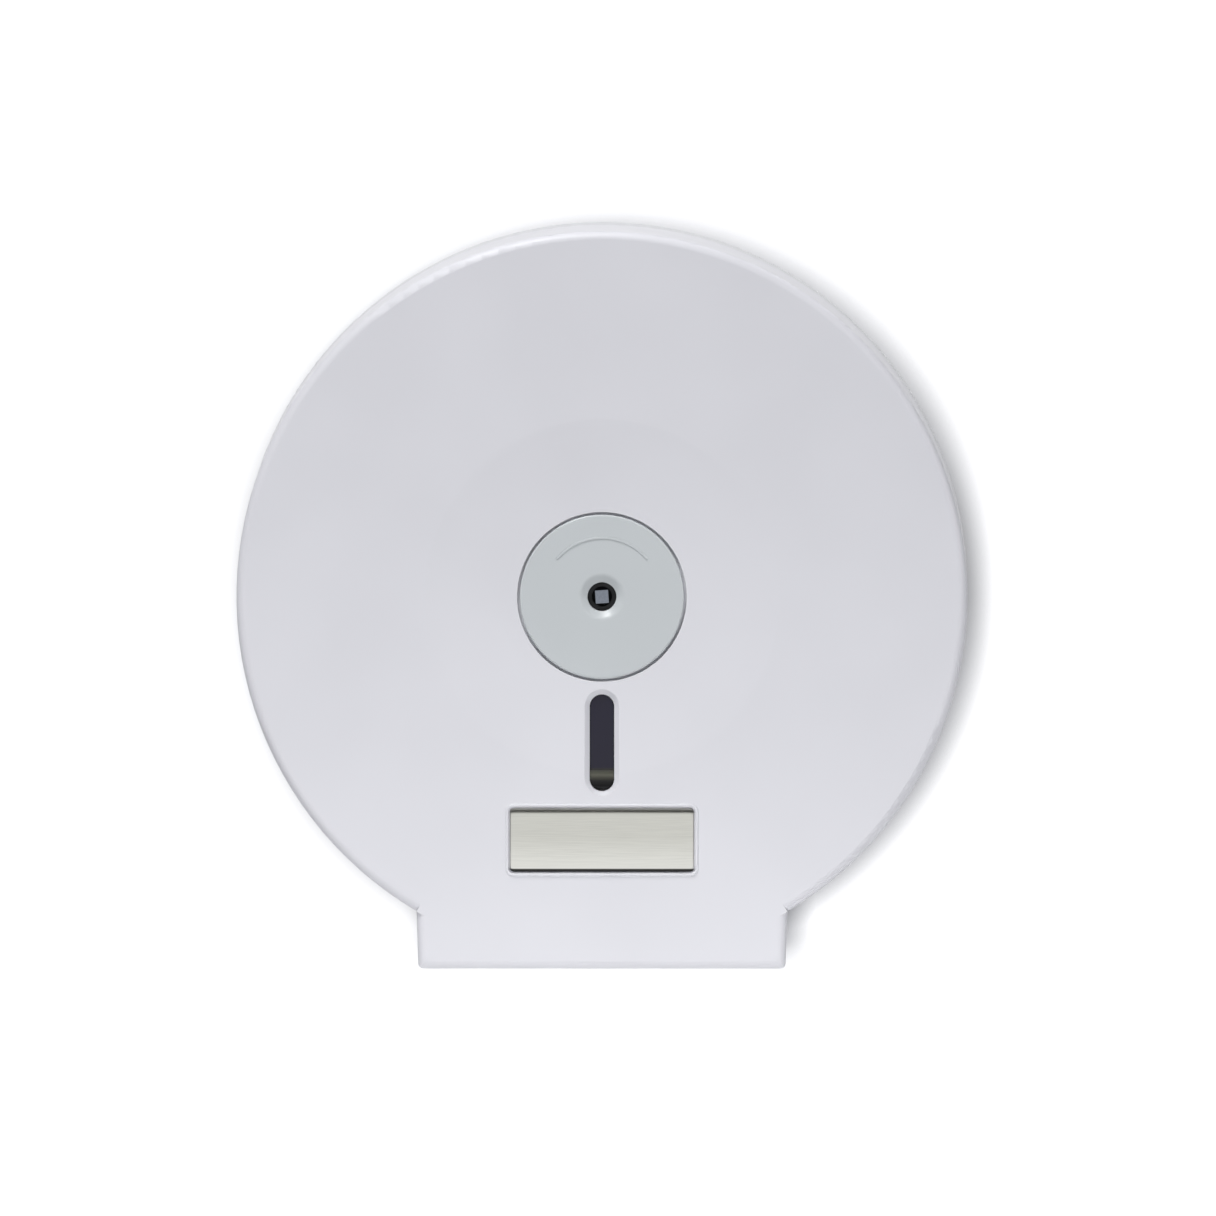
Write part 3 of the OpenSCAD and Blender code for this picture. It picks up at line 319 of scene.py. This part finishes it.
# injection-moulded plastic: a satin skin with a very fine spark-eroded grain, slow waves where the wall
# shrank in the mould, a gloss that changes a little where hands have rubbed it, a painted highlight that
# makes edges lighter where they stand out, and painted shade, in a dust colour, in the narrow gaps. Real
# grain is about 0.05 mm; it is drawn as coarse as it needs to be to show
def mouldedPlastic(name, colour, roughness, grainMm, grainDepthMm, waveDepthMm, gapShadeShare=0.25):
    skin, paintedLight = plasticSkin, plasticPaintedLight
    material, tree, shader, place = newMaterial(name, IOR=skin["ior"])
    grain = addNode(tree, "ShaderNodeTexNoise", {
        "Vector": place, "Scale": 1 / (grainMm * mm), "Detail": 2.0})
    waves = addNode(tree, "ShaderNodeTexNoise", {
        "Vector": place, "Scale": 1 / (skin["waveMm"] * mm), "Detail": 1.0})
    patches = addNode(tree, "ShaderNodeTexNoise", {
        "Vector": place, "Scale": 1 / (skin["patchMm"] * mm), "Detail": 4.0})
    base = linear(colour)
    tint = addNode(tree, "ShaderNodeValToRGB", {"Fac": waves.outputs["Fac"]}, stops=[
        (skin["waveFrom"], scaled(base, skin["waveDark"])),
        (skin["waveTo"], scaled(base, skin["waveLight"]))])
    # a wide bevel's normal leans away from the face's own near an edge
    wide = addNode(tree, "ShaderNodeBevel", {
        "Radius": paintedLight["highlightMm"] * mm}, samples=paintedLight["highlightSamples"])
    face = addNode(tree, "ShaderNodeNewGeometry")
    lean = addNode(tree, "ShaderNodeVectorMath", {
        0: wide.outputs["Normal"], 1: face.outputs["Normal"]}, operation="DOT_PRODUCT")
    openness = addNode(tree, "ShaderNodeAmbientOcclusion", {
        "Distance": paintedLight["gapShadeMm"] * mm}, samples=paintedLight["gapShadeSamples"])
    edgeShare = addNode(tree, "ShaderNodeMapRange", {
        "Value": lean.outputs["Value"], "From Min": paintedLight["leanFrom"], "From Max": paintedLight["leanTo"],
        "To Max": paintedLight["highlightShare"]})
    standsOut = addNode(tree, "ShaderNodeMapRange", {
        "Value": openness.outputs["AO"], "From Min": paintedLight["openFrom"]})
    # painted highlight: edges that stand out are lightened towards a brighter colour
    paintedHighlight = addNode(tree, "ShaderNodeMath", {
        0: edgeShare.outputs[0], 1: standsOut.outputs[0]}, operation="MULTIPLY")
    highlightedTint = addNode(tree, "ShaderNodeMix", {
        "Factor": paintedHighlight.outputs[0], "A": tint.outputs["Color"],
        "B": scaled(base, paintedLight["highlightGain"])}, data_type="RGBA")
    # painted shade: narrow gaps are darkened towards a dust colour
    gapShade = addNode(tree, "ShaderNodeMapRange", {
        "Value": openness.outputs["AO"], "From Min": paintedLight["gapShadeFrom"], "From Max": paintedLight["gapShadeTo"],
        "To Max": gapShadeShare})
    gapShaded = addNode(tree, "ShaderNodeMix", {
        "Factor": gapShade.outputs[0], "A": highlightedTint.outputs["Result"],
        "B": linear(paintedLight["gapShadeColour"])}, data_type="RGBA")
    tree.links.new(gapShaded.outputs["Result"], shader.inputs["Base Color"])
    gloss = addNode(tree, "ShaderNodeMapRange", {
        "Value": patches.outputs["Fac"], "From Min": skin["patchFrom"], "From Max": skin["patchTo"],
        "To Min": roughness - skin["rubbed"], "To Max": roughness + skin["rubbed"]})
    tree.links.new(gloss.outputs["Result"], shader.inputs["Roughness"])
    edge = addNode(tree, "ShaderNodeBevel", {"Radius": skin["edgeMm"] * mm}, samples=skin["edgeSamples"])
    slow = addNode(tree, "ShaderNodeBump", {
        "Height": waves.outputs["Fac"], "Distance": waveDepthMm * mm, "Strength": 1.0,
        "Normal": edge.outputs["Normal"]})
    fine = addNode(tree, "ShaderNodeBump", {
        "Height": grain.outputs["Fac"], "Distance": grainDepthMm * mm, "Strength": 1.0,
        "Normal": slow.outputs["Normal"]})
    tree.links.new(fine.outputs["Normal"], shader.inputs["Normal"])
    return material


metalFinish = {
    "patchMm": 4.0, "patchDark": 0.88,      # clouds in the plating, and their darker tone
    "noiseFrom": 0.3, "noiseTo": 0.7,       # noise levels at which tone and gloss start and end
    "smoother": 0.06, "rougher": 0.08,      # how far the marks move the roughness
}


# bare or plated metal: fine marks drawn out along one axis, and faint clouds of plating
def workedMetal(name, colour, roughness, markMm, markDepthMm, stretch=(1, 1, 1)):
    spec = metalFinish
    material, tree, shader, place = newMaterial(name, Metallic=1.0)
    turned = addNode(tree, "ShaderNodeMapping", {"Vector": place, "Scale": stretch})
    marks = addNode(tree, "ShaderNodeTexNoise", {
        "Vector": turned.outputs[0], "Scale": 1 / (markMm * mm), "Detail": 3.0})
    patches = addNode(tree, "ShaderNodeTexNoise", {
        "Vector": place, "Scale": 1 / (spec["patchMm"] * mm), "Detail": 3.0})
    base = linear(colour)
    tint = addNode(tree, "ShaderNodeValToRGB", {"Fac": patches.outputs["Fac"]}, stops=[
        (spec["noiseFrom"], scaled(base, spec["patchDark"])), (spec["noiseTo"], base)])
    tree.links.new(tint.outputs["Color"], shader.inputs["Base Color"])
    gloss = addNode(tree, "ShaderNodeMapRange", {
        "Value": marks.outputs["Fac"], "From Min": spec["noiseFrom"], "From Max": spec["noiseTo"],
        "To Min": roughness - spec["smoother"], "To Max": roughness + spec["rougher"]})
    tree.links.new(gloss.outputs["Result"], shader.inputs["Roughness"])
    bump = addNode(tree, "ShaderNodeBump", {
        "Height": marks.outputs["Fac"], "Distance": markDepthMm * mm, "Strength": 1.0})
    tree.links.new(bump.outputs["Normal"], shader.inputs["Normal"])
    return material


plateFinish = {
    "lineMm": 0.25, "drawnOut": 0.02,            # spacing of the brush lines, and their squeeze along x
    "streakDark": 0.86, "streakLight": 1.12,     # what the lines do to the tone
    "roughLow": 0.24, "roughHigh": 0.42,
    "lineDepthMm": 0.004, "anisotropic": 0.6,
    "tones": [                                   # share of the plate's height and the tone there
        # painted reflection and shade: dark on the lower roll and in the crease, lighter towards the bottom
        (0.0, "#3C3C3A"), (0.04, "#464644"), (0.056, "#F0F0EA"), (0.55, "#DADAD3"), (0.922, "#DADAD3"),
        (0.94, "#8E8E89"), (0.965, "#9A9A95"), (0.98, "#C8C8C2"),
    ],
}


# brushed stainless plate: fine lines drawn along x, wider apart than a real brush leaves them, so that they
# show; its tone is a painted reflection, lighter towards the bottom and brightest just above the lower
# roll, with painted shade dark in the crease and on the rolled lower edge and a little darker on the upper
# roll
def brushedPlate(name, bottom, top):
    spec = plateFinish
    material, tree, shader, place = newMaterial(name, Metallic=1.0, Anisotropic=spec["anisotropic"])
    upward = addNode(tree, "ShaderNodeSeparateXYZ", {0: place}).outputs["Z"]
    share = addNode(tree, "ShaderNodeMapRange", {"Value": upward, "From Min": bottom, "From Max": top})
    stretched = addNode(tree, "ShaderNodeMapping", {"Vector": place, "Scale": (spec["drawnOut"], 1, 1)})
    lines = addNode(tree, "ShaderNodeTexNoise", {
        "Vector": stretched.outputs[0], "Scale": 1 / (spec["lineMm"] * mm), "Detail": 2.0})
    # painted reflection and shade, by height
    tone = addNode(tree, "ShaderNodeValToRGB", {"Fac": share.outputs[0]}, stops=[
        (height, linear(hexColour)) for height, hexColour in spec["tones"]])
    streak = addNode(tree, "ShaderNodeMapRange", {
        "Value": lines.outputs["Fac"], "To Min": spec["streakDark"], "To Max": spec["streakLight"]})
    tinted = addNode(tree, "ShaderNodeVectorMath", {
        0: tone.outputs["Color"], 1: streak.outputs[0]}, operation="MULTIPLY")
    tree.links.new(tinted.outputs[0], shader.inputs["Base Color"])
    gloss = addNode(tree, "ShaderNodeMapRange", {
        "Value": lines.outputs["Fac"], "To Min": spec["roughLow"], "To Max": spec["roughHigh"]})
    tree.links.new(gloss.outputs[0], shader.inputs["Roughness"])
    bump = addNode(tree, "ShaderNodeBump", {
        "Height": lines.outputs["Fac"], "Distance": spec["lineDepthMm"] * mm, "Strength": 1.0})
    tree.links.new(bump.outputs["Normal"], shader.inputs["Normal"])
    return material


lensFinish = {
    "roughness": 0.2, "specular": 0.35,
    "wipeMm": 6.0, "wiped": 0.06,      # size of the wiped patches, and how far they move the roughness
    "tones": [                         # height in mm and the tone there
        # painted light: a brown-grey band near the sill; painted shade: darker below it
        (-76, "#060608"), (-70.6, "#09090A"), (-69.5, "#38372F"), (-68.3, "#5A5A50"), (-67.2, "#4E4E46"),
        (-66.2, "#302F2E"), (-65.4, "#1E1C2C"), (-36, "#1D1B2D"),
    ],
}


# smoked window: nearly black with a blue cast; a brown-grey band near the sill is painted light, and below
# it the colour is painted darker, a painted shade; gloss varies a little with wiping
def smokedPolycarbonate(name):
    spec = lensFinish
    material, tree, shader, place = newMaterial(name, Specular_IOR_Level=spec["specular"])
    height = addNode(tree, "ShaderNodeSeparateXYZ", {0: place}).outputs["Z"]
    low, high = spec["tones"][0][0], spec["tones"][-1][0]
    share = addNode(tree, "ShaderNodeMapRange", {
        "Value": height, "From Min": low * mm, "From Max": high * mm})
    # painted light and shade by height
    tone = addNode(tree, "ShaderNodeValToRGB", {"Fac": share.outputs[0]}, stops=[
        ((z - low) / (high - low), linear(hexColour)) for z, hexColour in spec["tones"]])
    tree.links.new(tone.outputs["Color"], shader.inputs["Base Color"])
    wiped = addNode(tree, "ShaderNodeTexNoise", {
        "Vector": place, "Scale": 1 / (spec["wipeMm"] * mm), "Detail": 3.0})
    gloss = addNode(tree, "ShaderNodeMapRange", {
        "Value": wiped.outputs["Fac"], "To Min": spec["roughness"] - spec["wiped"],
        "To Max": spec["roughness"] + spec["wiped"]})
    tree.links.new(gloss.outputs[0], shader.inputs["Roughness"])
    return material


driveFinish = {
    "black": "#0B0F16", "bare": "#8E949F", "specular": 0.15,
    "wornMm": 0.15, "fullShare": 0.2,       # depth of the worn end, and the share of it that is all bare
    "grainMm": 0.4, "grainFrom": 0.3, "grainTo": 0.7, "grainDark": 0.85, "grainLight": 1.1,
    "grainDepthMm": 0.01,
    "roughBlack": 0.5, "roughBare": 0.42,
}


# zinc casting, blackened all over; keys have rubbed the end of the square drive back to grey metal
def blackenedZinc(name, endY):
    spec = driveFinish
    material, tree, shader, place = newMaterial(name, Specular_IOR_Level=spec["specular"])
    depth = addNode(tree, "ShaderNodeSeparateXYZ", {0: place}).outputs["Y"]
    grain = addNode(tree, "ShaderNodeTexNoise", {
        "Vector": place, "Scale": 1 / (spec["grainMm"] * mm), "Detail": 3.0})
    bare = addNode(tree, "ShaderNodeMapRange", {
        "Value": depth, "From Min": endY + spec["wornMm"] * mm,
        "From Max": endY + spec["fullShare"] * spec["wornMm"] * mm})
    shades = addNode(tree, "ShaderNodeMapRange", {
        "Value": grain.outputs["Fac"], "From Min": spec["grainFrom"], "From Max": spec["grainTo"],
        "To Min": spec["grainDark"], "To Max": spec["grainLight"]})
    colour = addNode(tree, "ShaderNodeMix", {
        "Factor": bare.outputs[0], "A": linear(spec["black"]), "B": linear(spec["bare"])}, data_type="RGBA")
    tinted = addNode(tree, "ShaderNodeVectorMath", {
        0: colour.outputs["Result"], 1: shades.outputs[0]}, operation="MULTIPLY")
    tree.links.new(tinted.outputs[0], shader.inputs["Base Color"])
    tree.links.new(bare.outputs[0], shader.inputs["Metallic"])
    gloss = addNode(tree, "ShaderNodeMapRange", {
        "Value": bare.outputs[0], "To Min": spec["roughBlack"], "To Max": spec["roughBare"]})
    tree.links.new(gloss.outputs[0], shader.inputs["Roughness"])
    bump = addNode(tree, "ShaderNodeBump", {
        "Height": grain.outputs["Fac"], "Distance": spec["grainDepthMm"] * mm, "Strength": 1.0})
    tree.links.new(bump.outputs["Normal"], shader.inputs["Normal"])
    return material


feltFinish = {
    "colour": "#6A6D72", "roughness": 0.95, "sheen": 0.5,
    "fibreMm": 0.15, "tangle": 2.5, "napMm": 0.12,
    "shade": 0.6, "shadeFrom": 0.3, "shadeTo": 0.7,    # tone between the fibres, and its noise levels
}


# pressed wool felt: matt, with a nap that catches light at a low angle, of tangled fibres. Real ones are
# about 0.03 mm thick; they are drawn coarser, so that they show
def pressedFelt(name):
    spec = feltFinish
    material, tree, shader, place = newMaterial(
        name, Roughness=spec["roughness"], Sheen_Weight=spec["sheen"])
    fibres = addNode(tree, "ShaderNodeTexNoise", {
        "Vector": place, "Scale": 1 / (spec["fibreMm"] * mm), "Detail": 6.0, "Distortion": spec["tangle"]})
    base = linear(spec["colour"])
    tint = addNode(tree, "ShaderNodeValToRGB", {"Fac": fibres.outputs["Fac"]}, stops=[
        (spec["shadeFrom"], scaled(base, spec["shade"])), (spec["shadeTo"], base)])
    tree.links.new(tint.outputs["Color"], shader.inputs["Base Color"])
    bump = addNode(tree, "ShaderNodeBump", {
        "Height": fibres.outputs["Fac"], "Distance": spec["napMm"] * mm, "Strength": 1.0})
    tree.links.new(bump.outputs["Normal"], shader.inputs["Normal"])
    return material


# plastics: colour, roughness, grain in mm, grain depth in mm, wave depth in mm
caseAbs = mouldedPlastic("whiteMouldedAbs", "#E6E6EB", 0.42, 0.5, 0.004, 0.12)      # cool white, satin
trayAbs = mouldedPlastic("trayMouldedAbs", "#DFE0E3", 0.5, 0.6, 0.01, 0.1)          # the same, duller
discAbs = mouldedPlastic("greyMouldedAbs", "#CED3D5", 0.34, 0.5, 0.006, 0.05)       # smoother, a green cast
hubPlastic = mouldedPlastic("greyPolypropylene", "#9FA5AB", 0.4, 0.8, 0.008, 0.1)   # waxy mid grey
blackNylon = mouldedPlastic("blackNylon", "#0B0E14", 0.5, 0.6, 0.006, 0.05, gapShadeShare=0.0)   # dull black
smokedLens = smokedPolycarbonate("smokedPolycarbonate")
# metals: colour, roughness, mark in mm, mark depth in mm
platedSteel = workedMetal("zincPlatedSteel", "#B9BBBC", 0.34, 0.6, 0.004)           # pale, a little cloudy
springSteel = workedMetal("springSteel", "#8E9094", 0.3, 0.5, 0.004)                # darker
pinSteel = workedMetal("groundPinSteel", "#C4C6C8", 0.22, 0.3, 0.002)               # ground bright
tearSteel = workedMetal("stainlessStrip", "#BFC1C3", 0.3, 0.8, 0.003, (1, 0.05, 1))  # rolling lines along y
lockZinc = blackenedZinc("blackenedZincCasting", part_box("lock_bolt")[0][1])
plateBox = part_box("name_plate")
plateSteel = brushedPlate("brushedStainless", plateBox[0][2], plateBox[1][2])
woolFelt = pressedFelt("pressedWoolFelt")

dress(["front_cover"], caseAbs)
dress(["back_tray", "spindle_post"], trayAbs)
dress(["lock_disc"], discAbs)
dress(["core_hub"], hubPlastic)
dress(["lock_housing"], blackNylon)
dress(["window_lens"], smokedLens)
dress(["name_plate"], plateSteel)
dress(["spindle_screws", "lock_keeper", "keeper_screws", "lens_screws", "disc_screws", "lock_washer"],
      platedSteel)
dress(["hub_retaining_ring", "lock_circlip"], springSteel)
dress(["hinge_pin_left", "hinge_pin_right"], pinSteel)
dress(["tear_bar_left", "tear_bar_right", "tear_bar_rivets"], tearSteel)
dress(["lock_bolt"], lockZinc)
dress(["friction_washer"], woolFelt)
print("materials made and put on", len(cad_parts), "CAD nodes")


feltRing = {
    "width": 2.9, "exponent": 3.5,                  # mm across the ring, and how square the section is
    "ripple": 0.025, "ripples": 11, "swells": 2,    # height in mm, and how many go round, strong and faint
    "aroundSteps": 180, "sectionSteps": 28,
}


# a closed section, rounded like a squared circle (cosine and sine, each to the power 2/exponent), turned
# round the hub's axis; its middle ripples by a sine, as cut felt does, which a slower cosine makes swell
def makeFeltRing():
    spec = feltRing
    low, high = (np.array(v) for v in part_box("friction_washer"))
    outer = high[0]
    inner = outer - spec["width"] * mm
    middleR, halfR = (outer + inner) / 2, (outer - inner) / 2
    middleY, halfY = (low[1] + high[1]) / 2, (high[1] - low[1]) / 2
    around = np.linspace(0, 2 * np.pi, spec["aroundSteps"], endpoint=False)[:, None]
    section = np.linspace(0, 2 * np.pi, spec["sectionSteps"], endpoint=False)[None, :]
    power = 2 / spec["exponent"]
    across = np.sign(np.cos(section)) * np.abs(np.cos(section)) ** power
    deep = np.sign(np.sin(section)) * np.abs(np.sin(section)) ** power
    ripple = spec["ripple"] * mm * np.sin(spec["ripples"] * around) * np.cos(spec["swells"] * around)
    radius = middleR + halfR * across
    y = middleY + (halfY - spec["ripple"] * mm) * deep + ripple
    points = np.stack([radius * np.cos(around), y, radius * np.sin(around)], -1).reshape(-1, 3)
    faces = gridFaces(spec["aroundSteps"], spec["sectionSteps"], True, True)
    ring = meshPiece("feltFrictionRing", points, faces, woolFelt, "back")
    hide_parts("friction_washer")


namePlate = {
    # sizes in mm
    "topRoll": 0.85, "bottomRoll": 1.15, "rollPower": 1.3, "creaseWidth": 0.6, "creaseDepth": 0.5,
    "edgeThickness": 0.18, "endRoll": 0.6, "cornerRadius": 1.6,
    "endShare": 0.5,          # share of the edge's thickness that is left at both ends
    "endLimit": 0.001,        # the rounding laws start this far in from the end
    "alongSteps": 60, "rollSteps": 12, "creaseSteps": 13, "flatSteps": 16,
}


# a plate of pressed strip. Its section runs from the lower edge to the upper one: a roll, a flat front, a
# crease shaped as one cosine wave, and a second roll. A roll is a quarter of a superellipse, so it is
# nearly a flat bevel that turns softly into the front. Carried along x, the section loses height near both
# ends by a circle's law, which rounds the four corners, and loses thickness there by a quarter circle
def makeNamePlate():
    spec = namePlate
    low, high = (np.array(v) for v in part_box("name_plate"))
    middleX, halfW = (low[0] + high[0]) / 2, (high[0] - low[0]) / 2
    middleZ, halfH = (low[2] + high[2]) / 2, (high[2] - low[2]) / 2
    back, thick = high[1], high[1] - low[1]
    edge, end, corner = spec["edgeThickness"] * mm, spec["endRoll"] * mm, spec["cornerRadius"] * mm
    bottom, top, crease = spec["bottomRoll"] * mm, spec["topRoll"] * mm, spec["creaseWidth"] * mm
    bend = np.linspace(0, np.pi / 2, spec["rollSteps"])
    power = 2 / spec["rollPower"]
    rollT = edge + (thick - edge) * np.sin(bend) ** power
    lowZ = -halfH + bottom * (1 - np.cos(bend) ** power)
    topZ = halfH - top * (1 - np.cos(bend) ** power)
    wave = np.linspace(0, 2 * np.pi, spec["creaseSteps"])[:-1]
    creaseZ = halfH - top - crease * (1 - wave / (2 * np.pi))
    creaseT = thick - spec["creaseDepth"] * mm * (1 - np.cos(wave)) / 2
    flatZ = np.linspace(lowZ[-1], creaseZ[0], spec["flatSteps"])[1:-1]
    z = np.concatenate([lowZ, flatZ, creaseZ, topZ[::-1]])
    t = np.concatenate([rollT, np.full(len(flatZ), thick), creaseT, rollT[::-1]])
    # places along x, closer together near the ends
    x = -halfW + halfW * (1 - np.cos(np.linspace(0, np.pi, spec["alongSteps"])))
    fromEnd = np.minimum(x + halfW, halfW - x) + spec["endLimit"] * mm
    drop = corner - np.sqrt(np.maximum(0, corner ** 2 - (corner - fromEnd) ** 2))
    inset = np.where(fromEnd < corner, drop, 0)
    thin = np.where(fromEnd < end, np.sqrt(np.maximum(0, 1 - (1 - fromEnd / end) ** 2)), 1)
    ends = edge * spec["endShare"]
    zGrid = z[None, :] * ((halfH - inset) / halfH)[:, None]
    tGrid = ends + (t[None, :] - ends) * thin[:, None]
    xGrid = np.repeat(x[:, None], len(z), 1)
    front = np.stack([middleX + xGrid, back - tGrid, middleZ + zGrid], -1)
    rear = np.stack([middleX + xGrid, np.full_like(xGrid, back), middleZ + zGrid], -1)[:, ::-1]
    points = np.concatenate([front, rear], 1)
    rows, columns = points.shape[:2]
    faces = gridFaces(rows, columns, False, True)
    k = np.arange(len(z) - 1)
    capStart = np.stack([k, columns - 1 - k, columns - 2 - k, k + 1], -1)
    capEnd = (capStart + (rows - 1) * columns)[:, ::-1]
    plate = meshPiece("pressedNamePlate", points.reshape(-1, 3), np.concatenate([faces, capStart, capEnd]),
                      plateSteel, "cover")
    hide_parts("name_plate")


ejectorMark = {
    # sizes in mm
    "radius": 3.0, "rim": 0.35, "height": 0.12, "rimHeight": 0.2, "sunk": 0.1,
    "shoulder": 0.6,                      # share of the rim's height at which its outside starts to round
    "rimOuter": 0.3, "rimInner": 0.7,     # shares of the rim's width between which its top is flat
    "middle": 0.01,                       # radius at which the profile starts and ends
    "steps": 32,
}
coverMarks = {
    "radius": 100.0, "firstAngle": -10.0, "angleStep": 20.0, "count": 12,
    "beadHeight": 0.5, "wallThickness": 2.8,    # the bead round the plate is the cover's foremost point
}
trayMarks = {"radii": (50.0, 118.0), "counts": (8, 10), "firstAngles": (22.5, 18.0), "floorHeight": 8.8}


# low round pads left by ejector pins: one closed profile turned round each centre, all centres at once
def makeEjectorMarks(name, centres, faceY, outward, material, body):
    spec = ejectorMark
    r, rim, middle = spec["radius"] * mm, spec["rim"] * mm, spec["middle"] * mm
    profile = np.array([
        [middle, -spec["sunk"]], [r, -spec["sunk"]], [r, spec["rimHeight"] * spec["shoulder"]],
        [r - rim * spec["rimOuter"], spec["rimHeight"]], [r - rim * spec["rimInner"], spec["rimHeight"]],
        [r - rim, spec["height"]], [middle, spec["height"]],
    ])
    turn = np.linspace(0, 2 * np.pi, spec["steps"], endpoint=False)
    x = centres[:, 0, None, None] + profile[None, None, :, 0] * np.cos(turn)[None, :, None]
    z = centres[:, 1, None, None] + profile[None, None, :, 0] * np.sin(turn)[None, :, None]
    y = np.broadcast_to(faceY + outward * profile[None, None, :, 1] * mm, x.shape)
    points = np.stack([x, y, z], -1).reshape(-1, 3)
    one = gridFaces(spec["steps"], len(profile), True, True)
    starts = np.arange(len(centres)) * spec["steps"] * len(profile)
    faces = (one[None] + starts[:, None, None]).reshape(-1, 4)
    return meshPiece(name, points, faces, material, body, smooth=False)


# points on a circle round the hub's axis: the radius times the cosine and the sine of evenly stepped angles
def ringOfCentres(radius, count, first, step):
    angle = np.radians(first + step * np.arange(count))
    return np.stack([radius * mm * np.cos(angle), radius * mm * np.sin(angle)], -1)


makeFeltRing()
makeNamePlate()
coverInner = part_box("front_cover")[0][1] + (coverMarks["beadHeight"] + coverMarks["wallThickness"]) * mm
coverCentres = ringOfCentres(
    coverMarks["radius"], coverMarks["count"], coverMarks["firstAngle"], coverMarks["angleStep"])
makeEjectorMarks("coverEjectorMarks", coverCentres, coverInner, 1, caseAbs, "cover")
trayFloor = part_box("back_tray")[1][1] - trayMarks["floorHeight"] * mm
trayRings = zip(trayMarks["radii"], trayMarks["counts"], trayMarks["firstAngles"])
trayCentres = np.concatenate([ringOfCentres(r, n, a, 360 / n) for r, n, a in trayRings])
makeEjectorMarks("trayEjectorMarks", trayCentres, trayFloor, -1, trayAbs, "back")
print("name plate, felt ring and ejector marks made")
